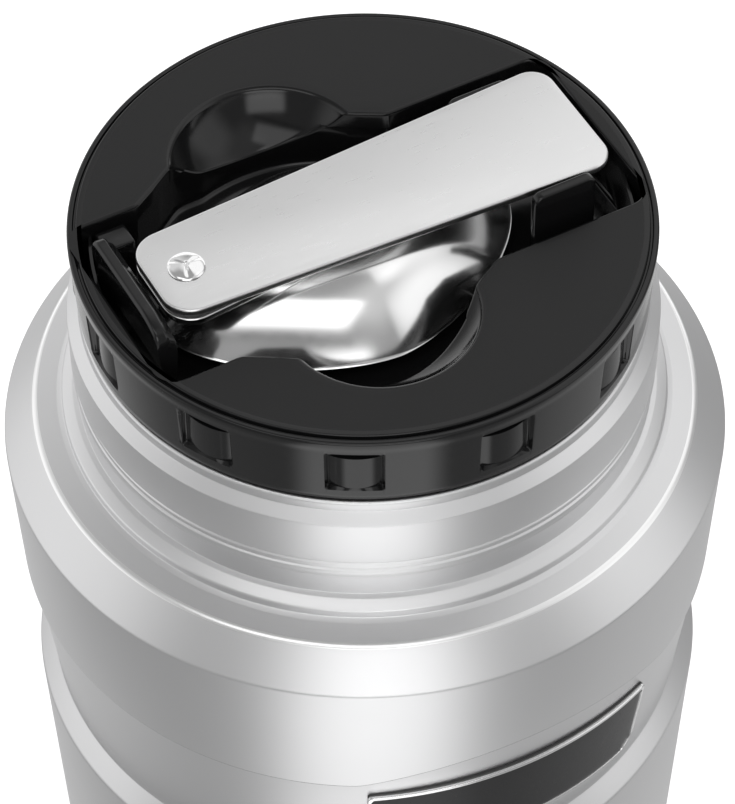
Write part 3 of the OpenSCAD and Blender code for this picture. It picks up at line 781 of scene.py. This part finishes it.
def skirt_levels():
    """Heights of the skirt's rings, each with whether a pocket's barrel stands at that height."""
    base = SKIRT + POCKET_LOW
    shelf = base + BARREL_H
    top = base + POCKET_H
    barrel_levels = [base + BARREL_H * k / 5 for k in range(1, 5)]
    low_levels = [SKIRT + 0.25, SKIRT + 0.9] + [base + e for e in POCKET_LEVELS]
    low_levels += barrel_levels + [shelf - 0.15, shelf - 0.05]
    high_levels = [shelf, shelf + 0.1, shelf + 0.6]
    high_levels += [top - e for e in reversed(POCKET_LEVELS)] + [top + 0.8]
    return [(z, True) for z in low_levels] + [(z, False) for z in high_levels]


class CoverRings:
    """Collects the rings of the cover's surface, each with the kind of finish it has."""

    def __init__(self):
        self.angles = cover_angles()
        self.rings = []
        self.kinds = []

    def put(self, radius, z, kind="gloss"):
        radius = np.broadcast_to(radius, self.angles.shape)
        height = np.broadcast_to(z, self.angles.shape)
        x = radius * np.cos(self.angles)
        y = radius * np.sin(self.angles)
        self.rings.append(np.column_stack([x, y, height]))
        self.kinds.append(kind)


def cover_underside(cover):
    """Rings from under the recess out to the skirt's inner edge and down to its foot."""
    under = TOP - COVER_T
    tub_under = TOP - RECESS_D - COVER_WALL
    shell_out = np.minimum(contour(cover.angles, TOP, COVER_WALL), SKIRT_IN_R - UNDER_GAP)
    cover.put(shell_out * 0.5, tub_under)
    cover.put(shell_out, tub_under)
    cover.put(shell_out, under)
    cover.put(SKIRT_IN_R, under)
    cover.put(SKIRT_IN_R, SKIRT + SKIRT_CHAMFER)
    cover.put(SKIRT_IN_R + SKIRT_CHAMFER, SKIRT)


def cover_outside(cover):
    """Rings up the skirt with its pockets, over the edge and the fine groove."""
    cover.put(SKIRT_R - SKIRT_CHAMFER, SKIRT)
    cover.put(SKIRT_R - 0.05, SKIRT + 0.06)
    crown = TOP - EDGE_DROP
    for z, barrel in skirt_levels():
        radius = SKIRT_R + (LID_R - SKIRT_R) * (z - SKIRT) / (crown - SKIRT)
        cover.put(skirt_ring(cover.angles, radius, z, barrel), z)
    groove_r = LID_R - GROOVE_IN
    edge = fillet_path([
        (LID_R - 0.01, TOP - 1.4, 0),
        (LID_R, crown, 0.5),
        (groove_r, crown + 0.02, 0.12),
        (groove_r - 0.03, crown - GROOVE_D, 0.1),
        (groove_r - GROOVE_W + 0.02, crown - GROOVE_D, 0.1),
        (groove_r - GROOVE_W, TOP, 0.22),
        (groove_r - PLAIN_IN, TOP, 0),
    ], closed=False, turn_step=12)
    for radius, z in edge:
        cover.put(radius, z)


def cover_top(cover):
    """Rings across the satin top to the hollow's edge, and over its rounded lip."""
    lip_out = contour(cover.angles, TOP, LIP)
    plain_out = LID_R - GROOVE_IN - PLAIN_IN
    for share in (0.12, 0.5, 0.88):
        cover.put(plain_out + (lip_out - plain_out) * share, TOP, "top")
    for k in range(7):
        turn = math.pi / 2 * k / 6
        z = TOP - LIP * (1 - math.cos(turn))
        cover.put(contour(cover.angles, z, LIP * (1 - math.sin(turn))), z)


def cover_hollow(cover):
    """Rings down the hollow's walls, with their step, and in over its floor."""
    band = TOP - WALL_BAND
    z = TOP - LIP - 0.1
    while z > band + 0.3:
        cover.put(contour(cover.angles, z, 0), z)
        z -= WALL_STEP
    for k in range(5):
        turn = math.pi / 2 * k / 4
        recede = WALL_BAND_STEP * (1 - math.cos(turn))
        z = band + 0.25 * (1 - math.sin(turn))
        cover.put(contour(cover.angles, z, 0, recede), z)
    z = band - WALL_STEP
    while z > TOP - WALL_FOOT:
        cover.put(contour(cover.angles, z, 0, WALL_BAND_STEP), z)
        z -= WALL_STEP
    floor = TOP - RECESS_D
    for k in range(6):
        turn = math.pi / 2 * k / 5
        z = floor + FLOOR_ROUND * (1 - math.sin(turn))
        inset = FLOOR_ROUND * (1 - math.cos(turn))
        cover.put(contour(cover.angles, z, -inset, WALL_BAND_STEP, scoops=False), z)
    last = contour(cover.angles, floor, -FLOOR_ROUND, WALL_BAND_STEP, scoops=False)
    for share in (0.7, 0.35):
        cover.put(last * share, floor)


# Posts that hold the handle, their braces, the ribs that the bowl rests on, and the small block
POST_X = 18.6
POST_L = 8.8
POST_T = 1.4
POST_GAP = 0.5
POST_ROUND = 1.2
RIB_T = 0.9
RIB_H = 5.0
FREE_END_W = 9.7
SEAT_RIBS = (-21.9, 14.1)
SEAT_HALF_W = 11.0
SEAT_T = 1.2
SEAT_TOP = 126.7
BLOCK_X = (-30.8, -26.6)
BLOCK_Y = (11.2, 14.8)
BLOCK_H = 8.2
BRACE_LAP = 0.2
WALL_BITE = 0.6
FAR_POST_DROP = 0.7

# Roundings of the fittings' outlines and of their ends
POST_FOOT_ROUND = 0.1
POST_EDGE = 0.3
BRACE_ROUND = 0.2
BRACE_EDGE = 0.25
SEAT_ROUND = 0.4
SEAT_EDGE = 0.3
BLOCK_ROUND = 0.4


def box_outline(u0, u1, v0, v1, radius):
    """Rectangle with its corners rounded."""
    return fillet_path([(u0, v0, radius), (u1, v0, radius), (u1, v1, radius), (u0, v1, radius)],
                       closed=True, turn_step=18)


def cover_fittings(shape):
    """Posts, braces, seat ribs and the small block, which stand on the recess floor."""
    floor = TOP - RECESS_D
    sunk = floor - COVER_WALL / 2
    near_top = high("stopper_cover")[2]
    far_top = TOP + HANDLE_RISE - HANDLE_T - FAR_POST_DROP
    inner = FREE_END_W + POST_GAP

    def across(u, v, depth):
        return (u, depth, v)

    def along(u, v, depth):
        return (depth, u, v)

    for y0, y1, top in ((-inner - POST_T, -inner, near_top), (inner, inner + POST_T, far_top)):
        outline = fillet_path([
            (POST_X, sunk, POST_FOOT_ROUND),
            (POST_X + POST_L, sunk, POST_FOOT_ROUND),
            (POST_X + POST_L, top, POST_ROUND),
            (POST_X, top, POST_ROUND),
        ], closed=True, turn_step=12)
        shape.add(*prism(outline, y0, y1, across, POST_EDGE))
    wall = RECESS_HALF[1] + WALL_BITE
    braces = (
        (-wall, -inner - POST_T + BRACE_LAP, POST_X + POST_L - RIB_T),
        (inner + POST_T - BRACE_LAP, wall, POST_X),
    )
    for y0, y1, x in braces:
        outline = box_outline(y0, y1, sunk, floor + RIB_H, BRACE_ROUND)
        shape.add(*prism(outline, x, x + RIB_T, along, BRACE_EDGE))
    for x in SEAT_RIBS:
        outline = box_outline(-SEAT_HALF_W, SEAT_HALF_W, sunk, SEAT_TOP, SEAT_ROUND)
        shape.add(*prism(outline, x - SEAT_T / 2, x + SEAT_T / 2, along, SEAT_EDGE))
    outline = box_outline(*BLOCK_X, sunk, floor + BLOCK_H, BLOCK_ROUND)
    shape.add(*prism(outline, *BLOCK_Y, across, BLOCK_ROUND))


def stopper_cover():
    """Moulded black cover: the skirt with its pockets, the satin top and the glossy hollow."""
    cover = CoverRings()
    for part in (cover_underside, cover_outside, cover_top, cover_hollow):
        part(cover)
    floor = TOP - RECESS_D
    points, faces = rings_to_mesh(cover.rings, (0, 0, floor - COVER_WALL), (0, 0, floor))
    cols = len(cover.angles)
    satin = [i for i, kind in enumerate(cover.kinds) if kind == "top"]
    shape = Shape()
    shape.add(points, faces)
    main_faces = len(faces)
    cover_fittings(shape)
    piece = make_piece("stopper_top", shape.points, shape.faces, "stopper", COVER_GLOSS,
                       sharp=40)
    piece.data.materials.append(COVER_TOP)
    first = satin[0] - 1
    last = satin[-1] + 1
    for i, face in enumerate(piece.data.polygons):
        row = i // cols
        if i < main_faces and first <= row < last:
            face.material_index = 1
    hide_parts("stopper_cover")


# Latch: half width, place, height over the top, how far its near end comes down and from what share
# of the half width, the level where its faces bend, and the rounding of its ends

LATCH_W = 9.3
LATCH_X = -30.75
LATCH_Y = 0.35
LATCH_HEAD = 4.2
LATCH_DROP = 1.5
LATCH_DROP_FROM = 0.45
LATCH_BEND = TOP - 4.2
LATCH_ROUND = 1.5
LATCH_STEPS = 28


def latch():
    """Snap tongue at the left end of the recess, with its stepped head and rounded ends."""
    foot = TOP - RECESS_D + 0.25
    head = TOP + LATCH_HEAD
    side = fillet_path([
        (LATCH_X - 1.6, foot, 0.5),
        (LATCH_X - 0.5, foot, 0.5),
        (LATCH_X - 0.4, LATCH_BEND, 1.5),
        (LATCH_X, TOP + 0.8, 1.2),
        (LATCH_X, head - 1.6, 0.25),
        (LATCH_X - 0.8, head - 0.85, 0.15),
        (LATCH_X - 0.85, head - 0.4, 0.15),
        (LATCH_X - 1.25, head, 0.2),
        (LATCH_X - 2.35, head, 0.4),
        (LATCH_X - 2.65, head - 0.5, 0.5),
        (LATCH_X - 2.2, TOP, 1.5),
        (LATCH_X - 1.75, LATCH_BEND, 1.5),
    ], closed=True)
    rings = []
    for k in range(-LATCH_STEPS, LATCH_STEPS + 1):
        share = k / LATCH_STEPS
        y = LATCH_W * share + LATCH_Y
        round_off = 1 - min((1 - abs(share)) * LATCH_W / LATCH_ROUND, 1)
        drop = LATCH_ROUND * (1 - math.sqrt(max(1 - round_off ** 2, 0)))
        drop += LATCH_DROP * (max(-share - LATCH_DROP_FROM, 0) / (1 - LATCH_DROP_FROM)) ** 2
        ring = [(u, y, foot + (v - foot) * (head - drop - foot) / (head - foot)) for u, v in side]
        rings.append(ring)
    points, faces = capped(rings)
    piece = make_piece("snap_latch", points, faces, "latch", COVER_GLOSS, sharp=50)
    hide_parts("spoon_latch")


# Spoon: the handle from its left end, then the tang, the rivet and the bowl

HANDLE_START = -29.9
HANDLE_L = 61.5
RIVET_END_W = 7.2
HANDLE_ROUNDS = (4.0, 3.2)
HANDLE_EDGE = 0.32
TANG_L = 31
TANG_END_W = 5.2
TANG_ROUNDS = (4.0, 2.5)
TANG_EDGE = 0.2
RIVET_X = HANDLE_START + 5
RIVET_HEAD_R = 2.45
RIVET_FOOT_R = 2.3
RIVET_SHANK_R = 1.5
RIVET_CREASE = 0.16
RIVET_DIMPLE = 0.22
RIVET_COLUMNS = 96
RIVET_TURN = math.radians(12)
BOWL_L = 50
BOWL_W = 17.8
BOWL_D = 7.8
BOWL_X = HANDLE_START + 1 + BOWL_L / 2
BOWL_T = 0.8
BOWL_FLAT = 0.26
BOWL_CROWN = high("spoon_bowl")[2]
BOWL_POWER = 2.4
BOWL_FLARE = 0.35
OUTLINE_POWER = 1.6
BOWL_COLUMNS = 240
BOWL_RINGS = 45


def plate_corners(x0, x1, w0, w1, r0, r1):
    """Four round corners of a plate that starts with half width w0 and ends with w1."""
    return [
        (x0 + r0, r0 - w0, r0),
        (x1 - r1, r1 - w1, r1),
        (x1 - r1, w1 - r1, r1),
        (x0 + r0, w0 - r0, r0),
    ]


def spoon_handle():
    """Satin handle plate with its edges rounded over; its face is left bare."""
    base = low("spoon_handle")[2]
    top = high("spoon_handle")[2]
    corners = plate_corners(HANDLE_START, HANDLE_START + HANDLE_L, RIVET_END_W, FREE_END_W, *HANDLE_ROUNDS)
    points, faces = plate(corners, base, top, HANDLE_EDGE)
    piece = make_piece("handle_plate", points, faces, "handle", HANDLE_STEEL)
    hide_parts("spoon_handle")


def spoon_tang():
    """Strap on the bowl's back, with rounded edges."""
    base = low("spoon_tang")[2]
    top = high("spoon_tang")[2]
    corners = plate_corners(HANDLE_START, HANDLE_START + TANG_L, RIVET_END_W, TANG_END_W, *TANG_ROUNDS)
    points, faces = plate(corners, base, top, TANG_EDGE)
    piece = make_piece("tang_strap", points, faces, "spoon", POLISHED_STEEL)
    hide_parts("spoon_tang")


def bowl_point(angle, share, dz, thin):
    """Point of the bowl's surface in direction angle, at a share of the way to the rim."""
    cosine = math.cos(angle)
    sine = math.sin(angle)
    reach = (abs(cosine) ** OUTLINE_POWER + abs(sine) ** OUTLINE_POWER) ** (-1 / OUTLINE_POWER)
    sag = 0.0
    if share > BOWL_FLAT:
        run = (share - BOWL_FLAT) / (1 - BOWL_FLAT)
        sag = BOWL_D * (run ** BOWL_POWER + BOWL_FLARE * run ** 3 * (1 - run))
    return (BOWL_X + (BOWL_L / 2 * reach - thin) * share * cosine,
            (BOWL_W * reach - thin) * share * sine,
            BOWL_CROWN - sag + dz)


def spoon_bowl():
    """Mirror-polished bowl, back up, with a rounded rim."""
    angles = [2 * math.pi * i / BOWL_COLUMNS for i in range(BOWL_COLUMNS)]
    shares = [0.05 + 0.95 * k / (BOWL_RINGS - 1) for k in range(BOWL_RINGS)]
    bowl_top = np.array([[bowl_point(a, s, 0, 0) for a in angles] for s in shares])
    bowl_in = np.array([[bowl_point(a, s, -BOWL_T, BOWL_T) for a in angles] for s in shares[:-1]])
    rim_in = np.array([bowl_point(a, 1, 0, BOWL_T) for a in angles])
    rim_out = bowl_top[-1]
    middle = (rim_in + rim_out) / 2
    outer = list(bowl_top[:-1])
    outer.append(bowl_top[-2] * 0.4 + rim_out * 0.6)
    tip = [
        rim_out + (middle - rim_out) * 0.12 + [0, 0, 0.12],
        middle,
        rim_in + (middle - rim_in) * 0.12 + [0, 0, 0.12],
    ]
    rings = list(bowl_in) + list(reversed(outer + tip))
    points, faces = rings_to_mesh(rings, (BOWL_X, 0, BOWL_CROWN - BOWL_T), (BOWL_X, 0, BOWL_CROWN))
    piece = make_piece("bowl_shell", points, faces, "spoon", POLISHED_STEEL, sharp=60)
    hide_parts("spoon_bowl")


def rivet():
    """Rivet with a low domed head that carries a three-way crease."""
    seat = high("spoon_handle")[2] + 0.05
    base = low("spoon_rivet")[2]
    tall = high("spoon_rivet")[2] - seat
    angles = [2 * math.pi * i / RIVET_COLUMNS for i in range(RIVET_COLUMNS)]
    profile = [
        (RIVET_FOOT_R - 0.35, base),
        (RIVET_FOOT_R, base + 0.35),
        (RIVET_FOOT_R, base + 0.65),
        (RIVET_SHANK_R, base + 0.68),
        (RIVET_SHANK_R, seat),
        (RIVET_HEAD_R - 0.05, seat),
    ]
    rings = [[(RIVET_X + r * math.cos(a), r * math.sin(a), z) for a in angles] for r, z in profile]
    for k in range(1, 15):
        turn = math.pi / 2 * k / 15
        r = RIVET_HEAD_R * math.cos(turn)
        height = seat + tall * math.sin(turn)
        ring = []
        for a in angles:
            crease = max(math.cos(3 * (a - RIVET_TURN)), 0) ** 6
            dip = RIVET_CREASE * crease * min(1, 1.6 * (1 - r / RIVET_HEAD_R) * 2)
            ring.append((RIVET_X + r * math.cos(a), r * math.sin(a), height - dip))
        rings.append(ring)
    points, faces = rings_to_mesh(rings, (RIVET_X, 0, base), (RIVET_X, 0, seat + tall - RIVET_DIMPLE))
    piece = make_piece("rivet_dome", points, faces, "spoon", RIVET_STEEL, sharp=50)
    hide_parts("spoon_rivet")


# Studio: the camera, in degrees, millimetres and pixels of the photograph

CAMERA_AZIMUTH = -28.0
CAMERA_ELEVATION = 49.41
CAMERA_ROLL = 0.58
CAMERA_YAW = 0.041
CAMERA_DISTANCE = 520.4
CAMERA_AIM_DROP = 36.25
CAMERA_FOCAL_PX = 3888.3
FRAME_TALL_PX = 804
SENSOR = 36.0

# Floor's half width and the point that the lamps shine at, in metres, then the floor's own light and
# its range of grey
FLOOR_HALF = 4.0
LAMP_AIM = Vector((0, 0, 0.09))
FLOOR_GLOW = 0.55
FLOOR_TONES = (0.79, 0.81)


def toward(azimuth, elevation):
    """Direction at an azimuth from the camera's side (clockwise seen from above) and an elevation."""
    a = math.radians(CAMERA_AZIMUTH + azimuth)
    e = math.radians(elevation)
    return Vector((math.sin(a) * math.cos(e), -math.cos(a) * math.cos(e), math.sin(e)))


def make_camera():
    """Camera at the photograph's angle, held level but for a small roll."""
    azimuth = math.radians(CAMERA_AZIMUTH)
    back = toward(0, CAMERA_ELEVATION)
    right = Vector((math.cos(azimuth), math.sin(azimuth), 0))
    spot = Vector((0, 0, TOP - CAMERA_AIM_DROP)) + back * CAMERA_DISTANCE
    yaw = math.radians(CAMERA_YAW)
    turned_back = back * math.cos(yaw) - right * math.sin(yaw)
    right = right * math.cos(yaw) + back * math.sin(yaw)
    up = turned_back.cross(right)
    roll = math.radians(CAMERA_ROLL)
    turned_right = right * math.cos(roll) - up * math.sin(roll)
    turned_up = right * math.sin(roll) + up * math.cos(roll)
    data = bpy.data.cameras.new("camera")
    data.sensor_width = SENSOR
    data.lens = CAMERA_FOCAL_PX * SENSOR / FRAME_TALL_PX
    data.clip_start = 0.01
    data.clip_end = 50
    camera = add_object("camera", data)
    columns = Matrix((turned_right, turned_up, turned_back)).transposed().to_4x4()
    columns.translation = spot * MM
    camera.matrix_world = columns
    bpy.context.scene.camera = camera


def calc(nodes, links, operation, a, b=None):
    """Result of a sum on one or two values, where b may be a number."""
    node = nodes.new("ShaderNodeMath")
    node.operation = operation
    links.new(a, node.inputs[0])
    if isinstance(b, (int, float)):
        node.inputs[1].default_value = b
    elif b is not None:
        links.new(b, node.inputs[1])
    return node.outputs[0]


def window(nodes, links, value, half, edge):
    """One at the middle of a soft-edged window of the given half width, and zero outside it."""
    ramp = nodes.new("ShaderNodeMapRange")
    ramp.interpolation_type = "SMOOTHSTEP"
    ramp.inputs["From Min"].default_value = half - edge
    ramp.inputs["From Max"].default_value = half + edge
    ramp.inputs["To Min"].default_value = 1
    ramp.inputs["To Max"].default_value = 0
    links.new(calc(nodes, links, "ABSOLUTE", value), ramp.inputs["Value"])
    return ramp.outputs["Result"]


def soft_box(nodes, links, direction, centre, half_w, half_h, edge, strength):
    """Light from a soft-edged panel far away, as seen in each direction. Sizes are tangents."""
    side = Vector((0, 0, 1)).cross(centre).normalized()
    up = centre.cross(side).normalized()
    parts = []
    for axis in (centre, side, up):
        dot = nodes.new("ShaderNodeVectorMath")
        dot.operation = "DOT_PRODUCT"
        links.new(direction, dot.inputs[0])
        dot.inputs[1].default_value = axis
        parts.append(dot.outputs["Value"])
    ahead = calc(nodes, links, "MAXIMUM", parts[0], LEAST_AHEAD)
    shown = []
    for value, half in ((parts[1], half_w), (parts[2], half_h)):
        ratio = calc(nodes, links, "DIVIDE", value, ahead)
        shown.append(window(nodes, links, ratio, half, edge))
    light = calc(nodes, links, "MULTIPLY", *shown)
    return calc(nodes, links, "MULTIPLY", light, strength)


# Smallest forward part of a direction that a panel is worked out for
LEAST_AHEAD = 0.02

# Panels of the studio: azimuth from the camera, elevation, half width, half height, edge, strength
PANELS = (
    (2, -50, 0.29, 0.45, 0.07, 1.15),
    (3, 23, 0.36, 0.19, 0.07, 1.95),
    (3, -8, 0.28, 0.50, 0.10, 0.45),
    (-18, 60, 0.46, 0.19, 0.05, 1.35),
    (-25, 44.5, 0.70, 0.04, 0.03, -0.20),
    (62, 58, 0.45, 0.28, 0.18, 0.30),
    (-150, 40, 0.35, 0.30, 0.15, 0.35),
    (142, 50, 0.50, 0.42, 0.18, 0.70),
    (178, 8, 0.90, 0.25, 0.10, 0.90),
    (-100, 8, 0.80, 0.50, 0.35, 0.72),
    (82, 18, 0.38, 0.50, 0.22, 0.75),
    (-165, -50, 0.60, 0.60, 0.30, 0.35),
    (105, -49, 0.35, 0.50, 0.20, 0.22),
)
WORLD_BASE = 0.35


def make_world():
    """Plain soft studio: an even base and soft panels for the finish, and plain white for the camera."""
    world = bpy.data.worlds.new("studio")
    bpy.context.scene.world = world
    world.use_nodes = True
    nodes = world.node_tree.nodes
    links = world.node_tree.links
    nodes["Background"].inputs["Color"].default_value = (1, 1, 1, 1)
    where = nodes.new("ShaderNodeTexCoord")
    direction = where.outputs["Generated"]
    total = None
    for azimuth, elevation, *sizes_and_strength in PANELS:
        light = soft_box(nodes, links, direction, toward(azimuth, elevation), *sizes_and_strength)
        total = light if total is None else calc(nodes, links, "ADD", total, light)
    lit = calc(nodes, links, "ADD", total, WORLD_BASE)
    path = nodes.new("ShaderNodeLightPath")
    shown = nodes.new("ShaderNodeMix")
    shown.inputs["B"].default_value = 1.0
    links.new(path.outputs["Is Camera Ray"], shown.inputs["Factor"])
    links.new(lit, shown.inputs["A"])
    links.new(shown.outputs["Result"], nodes["Background"].inputs["Strength"])


def make_lamp(name, azimuth, elevation, distance, size, power):
    """Square area lamp that shines at the jar's middle and doesn't show in reflections."""
    data = bpy.data.lights.new(name, "AREA")
    data.shape = "SQUARE"
    data.size = size
    data.energy = power
    lamp = add_object(name, data)
    out = toward(azimuth, elevation)
    lamp.location = out * distance + LAMP_AIM
    lamp.rotation_euler = out.to_track_quat("Z", "Y").to_euler()
    lamp.visible_glossy = False
    lamp.visible_camera = False


def make_floor():
    """Pale floor that keeps the jar's shadow, shows white to the camera, and isn't seen in reflections."""
    material, nodes, links = node_material("pale_floor")
    nodes.remove(nodes["Principled BSDF"])
    diffuse = nodes.new("ShaderNodeBsdfDiffuse")
    speck = nodes.new("ShaderNodeTexNoise")
    speck.inputs["Scale"].default_value = 3
    tone = nodes.new("ShaderNodeMapRange")
    tone.inputs["To Min"].default_value, tone.inputs["To Max"].default_value = FLOOR_TONES
    links.new(speck.outputs["Fac"], tone.inputs["Value"])
    links.new(tone.outputs["Result"], diffuse.inputs["Color"])
    glow = nodes.new("ShaderNodeEmission")
    path = nodes.new("ShaderNodeLightPath")
    amount = calc(nodes, links, "MULTIPLY", path.outputs["Is Camera Ray"], FLOOR_GLOW)
    links.new(amount, glow.inputs["Strength"])
    both = nodes.new("ShaderNodeAddShader")
    links.new(diffuse.outputs[0], both.inputs[0])
    links.new(glow.outputs[0], both.inputs[1])
    links.new(both.outputs[0], nodes["Material Output"].inputs["Surface"])
    mesh = bpy.data.meshes.new("floor")
    half = FLOOR_HALF
    corners = [(-half, -half, 0), (half, -half, 0), (half, half, 0), (-half, half, 0)]
    mesh.from_pydata(corners, [], [(0, 1, 2, 3)])
    mesh.materials.append(material)
    floor = add_object("floor", mesh)
    floor.visible_glossy = False


def make_studio():
    """Camera, floor, world and lamps, with plain colour handling."""
    make_camera()
    make_floor()
    make_world()
    make_lamp("key_lamp", azimuth=-20, elevation=55, distance=1.2, size=0.8, power=4)
    make_lamp("fill_lamp", azimuth=70, elevation=40, distance=1.3, size=0.9, power=2)
    bpy.context.scene.view_settings.view_transform = "Standard"


make_studio()
dress_nodes()
jar_shell()
badge_plate()
badge_field()
stopper_cover()
latch()
spoon_handle()
spoon_tang()
spoon_bowl()
rivet()
